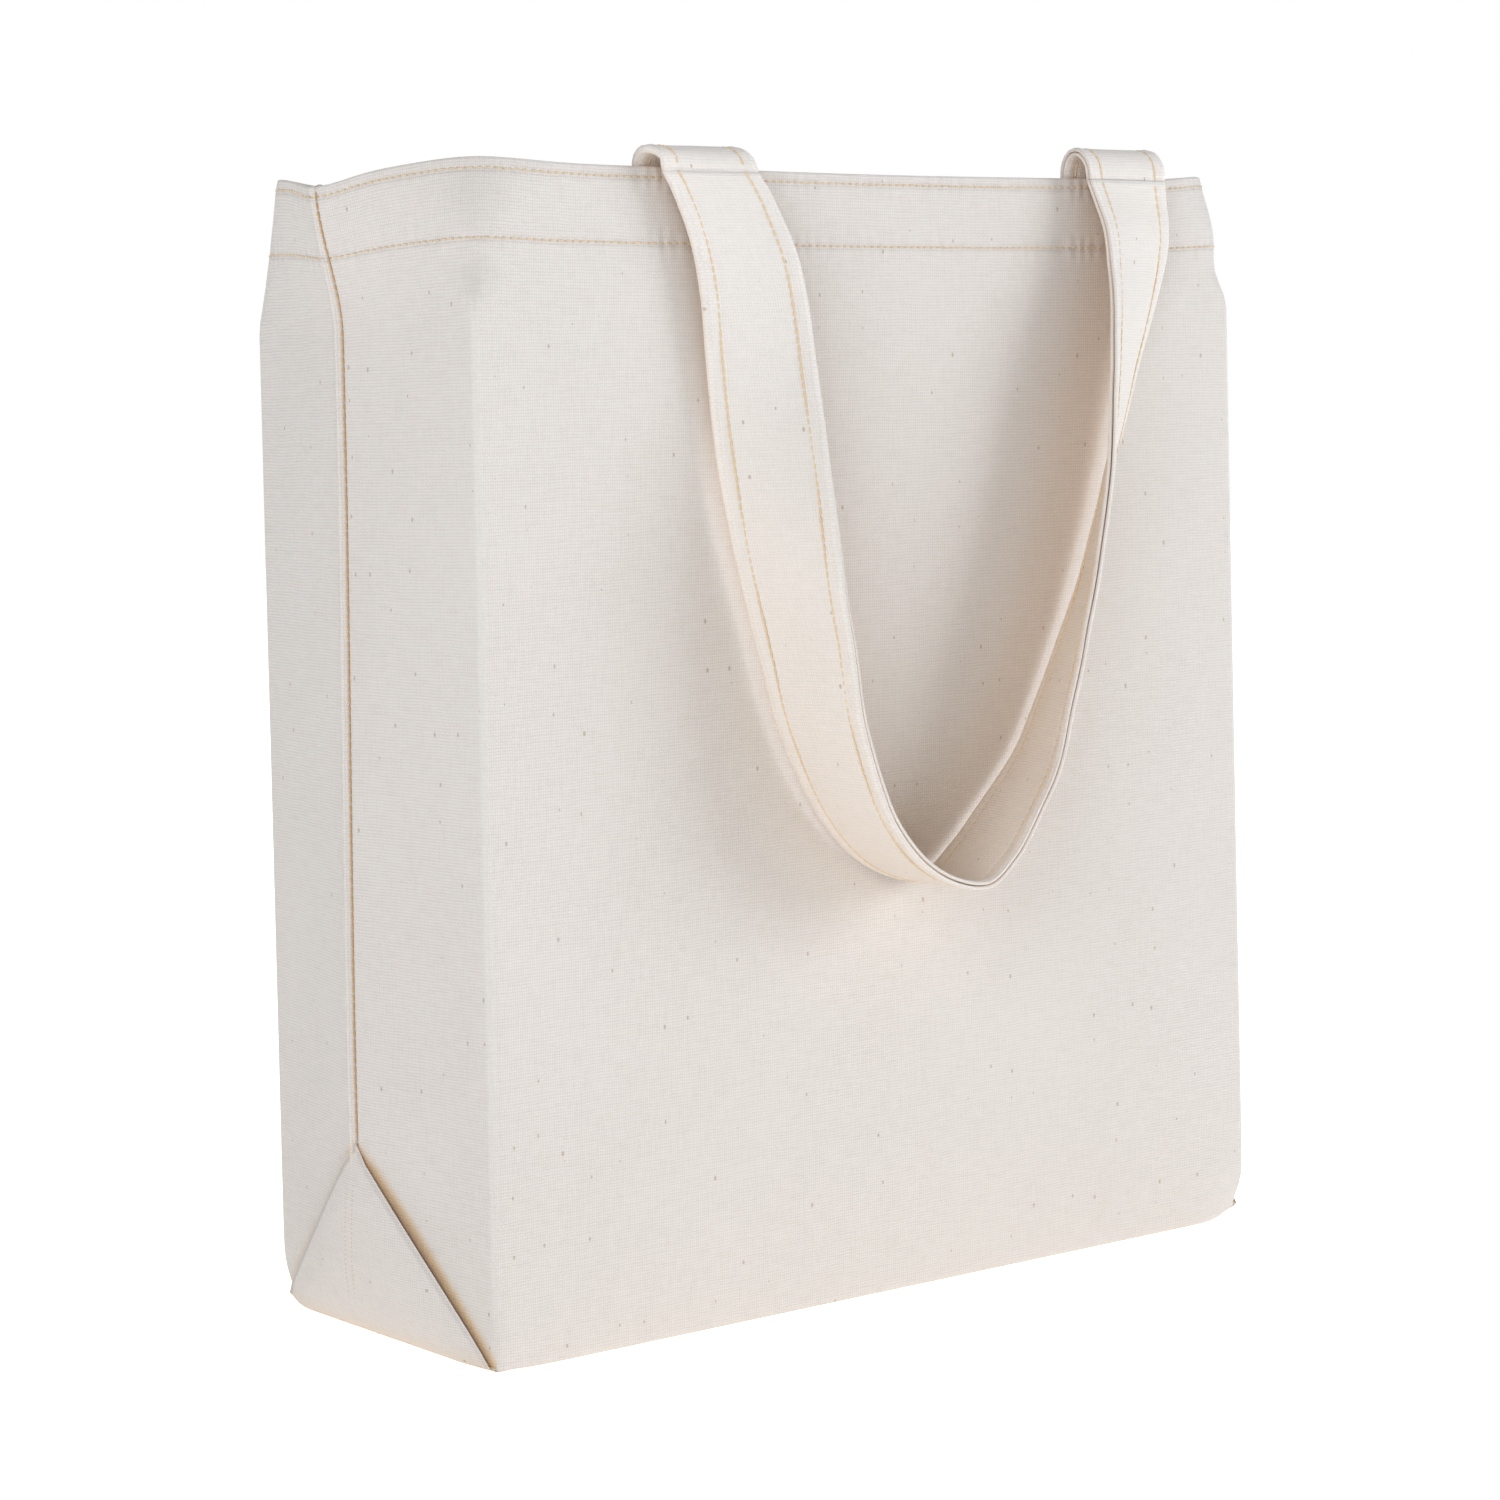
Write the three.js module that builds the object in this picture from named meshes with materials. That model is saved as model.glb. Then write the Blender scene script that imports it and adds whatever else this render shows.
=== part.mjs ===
// Canvas tote bag with a folded base, hemmed mouth and two carrying handles.
// Millimetres, +Z up. The origin is the middle of the base, on the ground, and the front faces -Y.
// The body cloth is modelled as one thin panel between each pair of its pressed creases.
import * as THREE from 'three';

// Body
const bagWidth = 350; // across the front, crease to crease, at the base
const bagDepth = 140;
const bagHeight = 400;
const mouthInset = 4; // how far each upright crease leans in by the mouth
const sideBulge = 9; // how far each side seam stands out of the line between its creases
const mouthFlare = 8; // what the side seam adds to that at the rim
const clothThickness = 0.9;
const pieceGap = 0.3; // clearance between pieces that touch
const hemHeight = 28;
const hemStep = 1; // height over which the wall thickens to two layers

// Base and side seams
const flapHeight = 70; // the side triangles, base to point
const flapLean = 10; // how far the point leans out
const flapLayers = 2;
const seamAllowance = 10;

// Handles
const strapWidth = 38;
const strapThickness = 2.8;
const legSpacing = 194; // middle to middle, at the rim
const handleOffset = 12; // of the loop's middle, to the wearer's left of the bag's middle
const handleDrop = 250; // rim to the middle of the hanging loop
const bendReach = 6; // half the depth of the arch that the strap's middle makes over the rim
const bendHeight = 4.9;
const lowBendHeight = 2.8; // of both arches of the back strap, which lie close over the rim
const tallBendHeight = 8.6; // of the arch at the front strap's +X end, which stands up more
const edgeClearance = 3; // between the panel and the strap edge that hangs nearest to it
const turnFade = 0.083; // part of the drop over which the strap's turn starts to push it outwards

// Thread
const threadWidth = 0.8;
const threadProud = 0.4;
const upperRowDepth = 4; // hem rows, below the rim
const lowerRowDepth = 26;
const strapRowInset = 5.5; // handle rows, in from each edge
const rowGap = 0.6; // between a handle row and the strap, which twists under it
const seamRowOffset = 1.6; // side seam row, in front of the seam

// Smoothness of the straps
const bendStations = 8;
const stepsPerStation = 3;
const stationGap = 0.09; // of the way to the next station, left open where two lengths meet

// The hanging loop, from one end to the other: how far across it is (-1 and 1 at its legs), how far
// down (0 at the rim, 1 at the lowest point), and how far the strap has turned, from flat against
// the panel (0) through edge-on (90) to flat again (180).
const loopStations = [
  [-0.957, 0.01, 3],
  [-0.918, 0.034, 5],
  [-0.875, 0.074, 8],
  [-0.838, 0.118, 12],
  [-0.812, 0.17, 16],
  [-0.798, 0.24, 21],
  [-0.786, 0.328, 30],
  [-0.777, 0.408, 41],
  [-0.761, 0.488, 53],
  [-0.731, 0.568, 61],
  [-0.689, 0.648, 67],
  [-0.634, 0.752, 75],
  [-0.557, 0.836, 81],
  [-0.459, 0.904, 85],
  [-0.33, 0.958, 88],
  [-0.175, 0.99, 89.5],
  [-0.011, 1, 90.5],
  [0.128, 0.962, 92],
  [0.238, 0.916, 97],
  [0.398, 0.84, 106],
  [0.514, 0.748, 114],
  [0.624, 0.648, 121],
  [0.7, 0.572, 125],
  [0.766, 0.492, 129],
  [0.816, 0.424, 133],
  [0.868, 0.352, 139],
  [0.922, 0.276, 146],
  [0.982, 0.2, 155],
  [1.031, 0.132, 165],
  [1.045, 0.08, 170],
  [1.035, 0.036, 175],
  [1.02, 0.01, 179],
];

// Cloth and thread finishes
const canvas = { color: 0xdfd9d3, roughness: 0.92, metalness: 0 };
const strapCanvas = { color: 0xe4ded7, roughness: 0.9, metalness: 0 };
const thread = { color: 0xd2b27c, roughness: 0.75, metalness: 0 };

// Places that more than one piece uses
const baseTop = clothThickness + pieceGap;
const flapThickness = flapLayers * clothThickness;
const hemEdge = bagHeight - hemHeight;
const frontY = -bagDepth / 2;
const sewnStrapY = frontY + 2 * clothThickness + pieceGap + strapThickness / 2;
const hangingStrapY = sewnStrapY - 2 * bendReach;

const tote = new THREE.Group();

function addPiece(parent, name, geometry, finish) {
  geometry.computeVertexNormals();
  const mesh = new THREE.Mesh(geometry, new THREE.MeshStandardMaterial(finish));
  mesh.name = name;
  parent.add(mesh);
  return mesh;
}

// A closed slab of unit cells, moved to its shape by place(u, d, v): u and v run from 0 to 1 along
// its first and third sides, and d from 0 to 1 through its thickness.
function shapedSlab(columns, rows, place) {
  const geometry = new THREE.BoxGeometry(1, 1, 1, columns, 1, rows);
  const position = geometry.attributes.position;
  for (let i = 0; i < position.count; i++) {
    const u = position.getX(i) + 0.5;
    const d = position.getY(i) + 0.5;
    const v = position.getZ(i) + 0.5;
    const point = place(u, d, v);
    position.setXYZ(i, point.x, point.y, point.z);
  }
  return geometry;
}

// The same piece on the other side of the bag, its faces turned back outwards
function mirrored(geometry) {
  geometry.scale(-1, 1, 1);
  const index = geometry.index;
  for (let i = 0; i < index.count; i += 3) {
    const first = index.getX(i);
    index.setX(i, index.getX(i + 2));
    index.setX(i + 2, first);
  }
  return geometry;
}

// The heights at which the walls change: the flap's point, the hem's lower edge and the rim.
const wallLevels = [baseTop, flapHeight, bagHeight / 2, hemEdge - hemStep, hemEdge, bagHeight];

function wallHeight(v) {
  return wallLevels[Math.round(v * (wallLevels.length - 1))];
}

function wallThickness(z) {
  return z < hemEdge ? clothThickness : 2 * clothThickness;
}

function creaseX(z) {
  return bagWidth / 2 - (mouthInset * z) / bagHeight;
}

function seamX(z) {
  const bulge = sideBulge * Math.min(z / flapHeight, 1);
  const flare = mouthFlare * Math.max((z - hemEdge) / hemHeight, 0);
  return creaseX(z) + bulge + flare;
}

// Front and back panels
function panelGeometry() {
  return shapedSlab(1, wallLevels.length - 1, (u, d, v) => {
    const z = wallHeight(v);
    return new THREE.Vector3((2 * u - 1) * creaseX(z), frontY + d * wallThickness(z), z);
  });
}

// Half of a side, from the front crease to the seam, on the +X side of the bag
function halfSideGeometry() {
  return shapedSlab(1, wallLevels.length - 1, (u, d, v) => {
    const z = wallHeight(v);
    const startY = frontY + wallThickness(z) + pieceGap;
    const endY = -pieceGap / 2;
    const outerX = THREE.MathUtils.lerp(creaseX(z), seamX(z), u);
    const y = THREE.MathUtils.lerp(startY, endY, u);
    return new THREE.Vector3(outerX - d * wallThickness(z), y, z);
  });
}

// The folded triangle at the bottom of the +X side
function flapGeometry() {
  const triangle = new THREE.Shape([
    new THREE.Vector2(-bagDepth / 2, 0),
    new THREE.Vector2(bagDepth / 2, 0),
    new THREE.Vector2(0, flapHeight),
  ]);
  const geometry = new THREE.ExtrudeGeometry(triangle, { depth: flapThickness, bevelEnabled: false });
  geometry.rotateX(Math.PI / 2);
  geometry.rotateZ(Math.PI / 2);
  const position = geometry.attributes.position;
  for (let i = 0; i < position.count; i++) {
    const lean = (flapLean * position.getZ(i)) / flapHeight;
    position.setX(i, position.getX(i) + bagWidth / 2 + pieceGap + lean);
    position.setZ(i, position.getZ(i) + baseTop);
  }
  return geometry;
}

// The two raw edges inside a side seam, on the +X side
function allowanceGeometry() {
  const rows = wallLevels.length - 1;
  return shapedSlab(1, rows, (u, d, v) => {
    const z = Math.min(wallHeight(v), hemEdge - hemStep - pieceGap - (rows - v * rows));
    const outerX = seamX(z) - clothThickness - pieceGap;
    return new THREE.Vector3(outerX - (1 - u) * seamAllowance, (d - 0.5) * 2 * clothThickness, z);
  });
}

// The visible row of thread in front of a side seam, on the +X side
function seamThreadGeometry() {
  const levels = [baseTop + flapHeight + pieceGap, bagHeight / 2, hemEdge, bagHeight - pieceGap];
  return shapedSlab(1, levels.length - 1, (u, d, v) => {
    const z = levels[Math.round(v * (levels.length - 1))];
    const y = -seamRowOffset + (d - 0.5) * threadWidth;
    return new THREE.Vector3(seamX(z) + pieceGap + u * threadProud, y, z);
  });
}

// Round the mouth at a height, with room for the side seam's row of thread
function bagOutline(z, offset) {
  const x = creaseX(z) + offset;
  const y = bagDepth / 2 + offset;
  const peak = seamX(z + threadWidth) + offset + pieceGap;
  return [[-x, -y], [x, -y], [peak, 0], [x, y], [-x, y], [-peak, 0]].map(
    ([px, py]) => new THREE.Vector2(px, py),
  );
}

// A row of hem stitching right round the mouth
function hemThreadGeometry(depth) {
  const z = bagHeight - depth;
  const widest = z - threadWidth / 2;
  const ring = new THREE.Shape(bagOutline(widest, pieceGap + threadProud + clothThickness));
  ring.holes.push(new THREE.Path(bagOutline(widest, pieceGap + clothThickness)));
  const geometry = new THREE.ExtrudeGeometry(ring, { depth: threadWidth, bevelEnabled: false });
  geometry.translate(0, 0, widest);
  return geometry;
}

// A length of strap, or of a thread row lying on it, between two of the strap's stations.
// sample(station) gives the strap's middle and the direction from its outer edge to its inner one.
function strapGeometry([from, to], sample, { width, thickness, across = 0, lift = 0 }) {
  const steps = Math.round((to - from) * stepsPerStation);
  return shapedSlab(1, steps, (u, d, v) => {
    const { middle, tangent, widthways } = sample(THREE.MathUtils.lerp(from, to, v));
    const face = new THREE.Vector3().crossVectors(tangent, widthways).normalize();
    return middle
      .clone()
      .addScaledVector(widthways, across + (u - 0.5) * width)
      .addScaledVector(face, lift + (d - 0.5) * thickness);
  });
}

const loopStart = bendStations + 1;
const loopEnd = loopStart + loopStations.length - 1;

function legX(side) {
  return handleOffset + (side * legSpacing) / 2;
}

// The strap over the rim, from its sewn end to where its loop starts
function bendPlaces(side, height, loopTop) {
  const places = [new THREE.Vector3(legX(side), sewnStrapY, hemEdge)];
  for (let i = 0; i < bendStations; i++) {
    const angle = (i / bendStations) * Math.PI;
    const y = THREE.MathUtils.lerp(sewnStrapY, hangingStrapY, (1 - Math.cos(angle)) / 2);
    const x = THREE.MathUtils.lerp(legX(side), loopTop.x, Math.max((2 * i) / bendStations - 1, 0));
    places.push(new THREE.Vector3(x, y, bagHeight + Math.sin(angle) * height));
  }
  return places;
}

// The whole strap as one curve, whose stations run from one sewn end to the other
function strapSampler(heights) {
  const topStandOff = frontY - hangingStrapY;
  const loop = loopStations.map(([across, down, turn]) => {
    const spare = (topStandOff - edgeClearance) * (1 - down) ** 2;
    const reach = (strapWidth / 2) * Math.sin(THREE.MathUtils.degToRad(turn));
    const y = frontY - edgeClearance - spare - reach * Math.min(down / turnFade, 1);
    return new THREE.Vector3(handleOffset + (across * legSpacing) / 2, y, bagHeight - down * handleDrop);
  });
  const first = bendPlaces(-1, heights[0], loop[0]);
  const last = bendPlaces(1, heights[1], loop[loop.length - 1]).reverse();
  const curve = new THREE.CatmullRomCurve3([...first, ...loop, ...last], false, 'centripetal');
  const loopTurns = loopStations.map((station) => station[2]);
  const turns = [...first.map(() => 0), ...loopTurns, ...last.map(() => 180)];
  return (station) => {
    const before = Math.min(Math.floor(station), turns.length - 2);
    const turn = THREE.MathUtils.lerp(turns[before], turns[before + 1], station - before);
    const angle = THREE.MathUtils.degToRad(turn);
    // Ends that meet share the direction of the place where they meet, so they lie parallel.
    const meeting = [loopStart, loopEnd].find((joint) => Math.abs(station - joint) < 2 * stationGap);
    return {
      middle: curve.getPoint(station / (turns.length - 1)),
      tangent: curve.getTangent((meeting ?? station) / (turns.length - 1)),
      widthways: new THREE.Vector3(Math.cos(angle), -Math.sin(angle), 0),
    };
  };
}

const panels = [
  ['front', 0],
  ['back', Math.PI],
];

for (const [end, turn] of panels) {
  const half = new THREE.Group();
  half.rotation.z = turn;
  tote.add(half);
  addPiece(half, `${end}_panel`, panelGeometry(), canvas);

  // Each turned half owns the side panel on its own +X side, and the mirrored one on its -X side.
  const rightName = end === 'front' ? 'right' : 'left';
  const leftName = end === 'front' ? 'left' : 'right';
  addPiece(half, `${rightName}_side_${end}_half`, halfSideGeometry(), canvas);
  addPiece(half, `${leftName}_side_${end}_half`, mirrored(halfSideGeometry()), canvas);

  // Handle
  const strap = { width: strapWidth, thickness: strapThickness };
  const heights = { front: [bendHeight, tallBendHeight], back: [lowBendHeight, lowBendHeight] };
  const sample = strapSampler(heights[end]);
  const loopRange = [loopStart + stationGap, loopEnd - stationGap];
  addPiece(half, `${end}_handle_loop`, strapGeometry(loopRange, sample, strap), strapCanvas);
  const rowOffset = strapWidth / 2 - strapRowInset;
  for (const [row, across] of [['outer', -rowOffset], ['inner', rowOffset]]) {
    const size = { width: threadWidth, thickness: threadProud, across };
    size.lift = (strapThickness + threadProud) / 2 + rowGap;
    const stitches = strapGeometry(loopRange, sample, size);
    addPiece(half, `${end}_handle_${row}_stitch_row`, stitches, thread);
  }
  const bends = [
    [leftName, -1, [1, loopStart - stationGap]],
    [rightName, 1, [loopEnd + stationGap, loopEnd + bendStations]],
  ];
  for (const [label, side, range] of bends) {
    const bend = strapGeometry(range, sample, strap);
    addPiece(half, `${end}_handle_${label}_rim_bend`, bend, strapCanvas);
    const sewnLength = hemHeight - 2 * pieceGap;
    const sewn = new THREE.BoxGeometry(strapWidth, strapThickness, sewnLength);
    const sewnEnd = addPiece(half, `${end}_handle_${label}_sewn_end`, sewn, strapCanvas);
    sewnEnd.position.set(legX(side), sewnStrapY, bagHeight - pieceGap - sewnLength / 2);
  }
}

// Base, flaps and seams
const baseWidth = bagWidth + 2 * (pieceGap + flapThickness);
const base = new THREE.BoxGeometry(baseWidth, bagDepth, clothThickness);
addPiece(tote, 'base_panel', base, canvas).position.z = clothThickness / 2;

for (const [side, turn] of [['right', 0], ['left', Math.PI]]) {
  const sidePieces = new THREE.Group();
  sidePieces.rotation.z = turn;
  tote.add(sidePieces);
  addPiece(sidePieces, `${side}_corner_flap`, flapGeometry(), canvas);
  addPiece(sidePieces, `${side}_seam_allowance`, allowanceGeometry(), canvas);
  addPiece(sidePieces, `${side}_seam_thread`, seamThreadGeometry(), thread);
}

addPiece(tote, 'upper_hem_thread', hemThreadGeometry(upperRowDepth), thread);
addPiece(tote, 'lower_hem_thread', hemThreadGeometry(lowerRowDepth), thread);

export default tote;
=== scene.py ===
from math import cos, exp, pi, radians, sin, sqrt
import bmesh
import bpy
from mathutils import Matrix, Vector, noise


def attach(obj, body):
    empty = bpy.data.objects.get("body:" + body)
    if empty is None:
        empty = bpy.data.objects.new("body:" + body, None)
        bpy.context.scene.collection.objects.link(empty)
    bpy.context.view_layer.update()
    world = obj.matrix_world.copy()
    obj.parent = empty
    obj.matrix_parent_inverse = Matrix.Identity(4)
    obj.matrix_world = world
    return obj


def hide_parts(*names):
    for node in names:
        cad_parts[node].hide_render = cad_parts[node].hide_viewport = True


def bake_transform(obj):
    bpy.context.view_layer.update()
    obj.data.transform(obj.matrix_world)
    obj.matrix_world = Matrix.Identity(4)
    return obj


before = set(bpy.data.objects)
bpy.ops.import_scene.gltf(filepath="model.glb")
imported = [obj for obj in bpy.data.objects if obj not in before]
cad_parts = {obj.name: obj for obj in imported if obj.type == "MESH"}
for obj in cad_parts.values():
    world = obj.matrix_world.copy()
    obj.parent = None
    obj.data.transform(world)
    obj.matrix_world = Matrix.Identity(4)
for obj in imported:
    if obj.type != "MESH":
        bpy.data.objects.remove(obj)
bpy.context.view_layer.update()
print("frame loaded:", len(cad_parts), "nodes")

# camera, at standing height in front and to the left of the bag
cameraSetup = {
    "turn": 37.48,
    "distance": 1.344,
    "height": 0.316,
    "sideways": -0.00765,
    "tiltDown": 5.28,
    "roll": -1.35,
    "lens": 87.19,
}


def makeCamera(setup):
    turn, tilt, roll = (radians(setup[k]) for k in ("turn", "tiltDown", "roll"))
    forward = Vector((sin(turn), cos(turn), 0))
    right = Vector((cos(turn), -sin(turn), 0))
    place = right * setup["sideways"] - forward * setup["distance"]
    place.z = setup["height"]
    up = Vector((0, 0, cos(tilt))) + forward * sin(tilt)
    look = forward * cos(tilt) - Vector((0, 0, sin(tilt)))
    rolledRight = right * cos(roll) + up * sin(roll)
    rolledUp = up * cos(roll) - right * sin(roll)
    data = bpy.data.cameras.new("camera")
    data.lens = setup["lens"]
    data.sensor_width = 36
    data.dof.use_dof = False
    camera = bpy.data.objects.new("camera", data)
    bpy.context.scene.collection.objects.link(camera)
    facing = Matrix((rolledRight, rolledUp, -look)).transposed().to_4x4()
    camera.matrix_world = Matrix.Translation(place) @ facing
    bpy.context.scene.camera = camera


makeCamera(cameraSetup)
print("camera placed")

# ---- shared maths ----


def ease(low, high, x):
    t = min(max((x - low) / (high - low), 0), 1)
    return t * t * (3 - 2 * t)


def bump(x, width):
    return exp(-((x / width) ** 2))


def stops(marks, step):  # the marks, with even steps between them
    out = [marks[0]]
    for a, b in zip(marks, marks[1:]):
        count = max(1, round((b - a) / step))
        out += [a + (b - a) * (i + 1) / count for i in range(count)]
    return out


def mirroredStops(half):  # the same on both sides of zero
    return [-x for x in reversed(half) if x > 0] + half


def ripple(place, size, seed):  # smooth noise, -1 to 1
    return noise.noise(place / size + Vector((seed * 7.3, seed * 3.1, seed)))


def finishPiece(bm, name, material):
    mesh = bpy.data.meshes.new(name)
    bm.to_mesh(mesh)
    bm.free()
    piece = bpy.data.objects.new(name, mesh)
    bpy.context.scene.collection.objects.link(piece)
    mesh.materials.append(material)
    for face in mesh.polygons:
        face.use_smooth = True
    return piece


def thicken(piece, thickness, offset):
    wall = piece.modifiers.new("thickness", "SOLIDIFY")
    wall.thickness = thickness
    wall.offset = offset
    wall.use_even_offset = False
    wall.use_quality_normals = True


# ---- node groups and materials ----


def addNode(tree, kind, **settings):
    item = tree.nodes.new(kind)
    for key, value in settings.items():
        setattr(item, key, value)
    return item


def feed(tree, socket, value):  # a link or a plain value
    if isinstance(value, bpy.types.NodeSocket):
        tree.links.new(value, socket)
    elif value is not None:
        socket.default_value = value


def maths(tree, operation, a, b=None):
    item = addNode(tree, "ShaderNodeMath", operation=operation)
    for socket, value in zip(item.inputs, (a, b)):
        feed(tree, socket, value)
    return item.outputs[0]


def product(tree, *factors):
    out = factors[0]
    for factor in factors[1:]:
        out = maths(tree, "MULTIPLY", out, factor)
    return out


def magnitude(tree, value):
    return maths(tree, "ABSOLUTE", value)


def split(tree, vector):
    item = addNode(tree, "ShaderNodeSeparateXYZ")
    feed(tree, item.inputs[0], vector)
    return item.outputs


def ramp(tree, value, low, high, toLow=0.0, toHigh=1.0):
    item = addNode(tree, "ShaderNodeMapRange", interpolation_type="SMOOTHSTEP")
    for socket, v in zip(item.inputs, (value, low, high, toLow, toHigh)):
        feed(tree, socket, v)
    return item.outputs[0]


def mixColour(tree, factor, a, b, blend="MIX"):
    item = addNode(tree, "ShaderNodeMix", data_type="RGBA", blend_type=blend)
    feed(tree, item.inputs[0], factor)
    feed(tree, item.inputs[6], a)
    feed(tree, item.inputs[7], b)
    return item.outputs[2]


def stretched(tree, vector, scale):
    item = addNode(tree, "ShaderNodeVectorMath", operation="MULTIPLY")
    feed(tree, item.inputs[0], vector)
    item.inputs[1].default_value = scale
    return item.outputs[0]


def noiseAt(tree, vector, scale, detail=2.0):
    item = addNode(tree, "ShaderNodeTexNoise", noise_dimensions="2D")
    feed(tree, item.inputs["Vector"], vector)
    item.inputs["Scale"].default_value = scale
    item.inputs["Detail"].default_value = detail
    return item.outputs["Fac"]


def newGroup(name, inputs, outputs):
    tree = bpy.data.node_groups.new(name, "ShaderNodeTree")
    for label, kind, value in inputs:
        socket = tree.interface.new_socket(label, in_out="INPUT", socket_type=kind)
        if value is not None:
            socket.default_value = value
    for label, kind in outputs:
        tree.interface.new_socket(label, in_out="OUTPUT", socket_type=kind)
    return tree, tree.nodes.new("NodeGroupInput").outputs, tree.nodes.new("NodeGroupOutput").inputs


def placeGroup(tree, group, **values):
    item = addNode(tree, "ShaderNodeGroup", node_tree=group)
    for key, value in values.items():
        feed(tree, item.inputs[key], value)
    return item.outputs


vectorSocket, floatSocket = "NodeSocketVector", "NodeSocketFloat"


weaving = {
    "warp": 0.00092,  # metres from thread to thread
    "weft": 0.00104,
    "wobbleScale": 55,
    "wobble": 0.9,
    "crossing": 0.25,  # how softly one thread gives way to the other
    "slubStretch": 140.0,
    "slubScale": 0.85,
}


def makeWeaveGroup(look):  # plain weave: warp along Y, weft along X, both coordinates in metres
    tree, given, out = newGroup(
        "canvasWeave",
        [
            ("Vector", vectorSocket, None),
            ("Warp", floatSocket, look["warp"]),
            ("Weft", floatSocket, look["weft"]),
        ],
        [("Height", floatSocket), ("Tone", floatSocket)],
    )
    parts = split(tree, given["Vector"])
    wobble = maths(tree, "SUBTRACT", noiseAt(tree, given["Vector"], look["wobbleScale"]), 0.5)
    wobble = maths(tree, "MULTIPLY", wobble, look["wobble"])
    across = maths(tree, "ADD", maths(tree, "DIVIDE", parts[0], given["Warp"]), wobble)
    along = maths(tree, "ADD", maths(tree, "DIVIDE", parts[1], given["Weft"]), wobble)
    warpWave = maths(tree, "SINE", maths(tree, "MULTIPLY", across, pi))
    weftWave = maths(tree, "SINE", maths(tree, "MULTIPLY", along, pi))
    crossing = look["crossing"]
    over = ramp(tree, maths(tree, "MULTIPLY", warpWave, weftWave), -crossing, crossing)
    under = maths(tree, "SUBTRACT", 1.0, over)
    warpTop = maths(tree, "MULTIPLY", over, magnitude(tree, warpWave))
    weftTop = maths(tree, "MULTIPLY", under, magnitude(tree, weftWave))
    feed(tree, out["Height"], maths(tree, "ADD", warpTop, weftTop))
    tones = []
    for first, second, share in ((across, parts[1], over), (along, parts[0], under)):
        join = addNode(tree, "ShaderNodeCombineXYZ")
        feed(tree, join.inputs[0], first)
        feed(tree, join.inputs[1], maths(tree, "MULTIPLY", second, look["slubStretch"]))
        slubs = noiseAt(tree, join.outputs[0], look["slubScale"], 3.0)
        tones.append(maths(tree, "MULTIPLY", slubs, share))
    feed(tree, out["Tone"], maths(tree, "ADD", tones[0], tones[1]))
    return tree


flecking = {
    "stretch": (1.0, 0.6, 1.0),
    "cells": 95.0,
    "amount": 0.3,
    "size": 0.05,
    "least": 0.35,  # the smallest fleck, as a share added to a random one
    "edge": 0.5,
}


def makeFleckGroup(look):  # small brown bits of seed in the cotton
    tree, given, out = newGroup(
        "seedFlecks",
        [
            ("Vector", vectorSocket, None),
            ("Amount", floatSocket, look["amount"]),
            ("Size", floatSocket, look["size"]),
        ],
        [("Mask", floatSocket)],
    )
    cells = addNode(tree, "ShaderNodeTexVoronoi", voronoi_dimensions="2D")
    feed(tree, cells.inputs["Vector"], stretched(tree, given["Vector"], look["stretch"]))
    cells.inputs["Scale"].default_value = look["cells"]
    pick = addNode(tree, "ShaderNodeSeparateColor")
    feed(tree, pick.inputs[0], cells.outputs["Color"])
    chosen = maths(tree, "LESS_THAN", pick.outputs[0], given["Amount"])
    reach = maths(tree, "MULTIPLY", given["Size"], maths(tree, "ADD", pick.outputs[1], look["least"]))
    near = maths(tree, "SUBTRACT", 1.0, maths(tree, "DIVIDE", cells.outputs["Distance"], reach))
    feed(tree, out["Mask"], maths(tree, "MULTIPLY", chosen, ramp(tree, near, 0.0, look["edge"])))
    return tree


needlework = {
    "gap": (0.00035, 0.0007),  # how far a hole reaches along the row, full and faded
    "row": (0.0002, 0.0006),  # and across it
    "grooveWidth": 0.0019,
    "grooveDepth": 0.5,
    "puckerWidth": (0.0005, 0.0075),
    "puckerDepth": 0.16,
    "puckerWave": 930.0,  # radians in a metre
    "drift": 2.4,
    "driftWave": 190.0,
}


def makeSewnRowGroup(look):  # what a row of stitching does to the cloth under it
    tree, given, out = newGroup(
        "sewnRow",
        [("Along", floatSocket, 0.0), ("Across", floatSocket, 0.0), ("Pitch", floatSocket, 0.0031)],
        [("Holes", floatSocket), ("Height", floatSocket)],
    )
    away = magnitude(tree, given["Across"])
    turn = maths(tree, "FRACT", maths(tree, "DIVIDE", given["Along"], given["Pitch"]))
    gap = maths(tree, "MULTIPLY", magnitude(tree, maths(tree, "SUBTRACT", turn, 0.5)), given["Pitch"])
    inGap = ramp(tree, gap, *look["gap"], 1.0, 0.0)
    onRow = ramp(tree, away, *look["row"], 1.0, 0.0)
    feed(tree, out["Holes"], maths(tree, "MULTIPLY", inGap, onRow))
    groove = ramp(tree, away, 0.0, look["grooveWidth"], -look["grooveDepth"], 0.0)
    drift = maths(tree, "SINE", maths(tree, "MULTIPLY", given["Along"], look["driftWave"]))
    drift = maths(tree, "MULTIPLY", drift, look["drift"])
    wave = maths(tree, "ADD", maths(tree, "MULTIPLY", given["Along"], look["puckerWave"]), drift)
    fade = ramp(tree, away, *look["puckerWidth"], look["puckerDepth"], 0.0)
    pucker = maths(tree, "MULTIPLY", maths(tree, "SINE", wave), fade)
    feed(tree, out["Height"], maths(tree, "ADD", groove, pucker))
    return tree


canvasWeave = makeWeaveGroup(weaving)
seedFlecks = makeFleckGroup(flecking)
sewnRow = makeSewnRowGroup(needlework)

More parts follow.
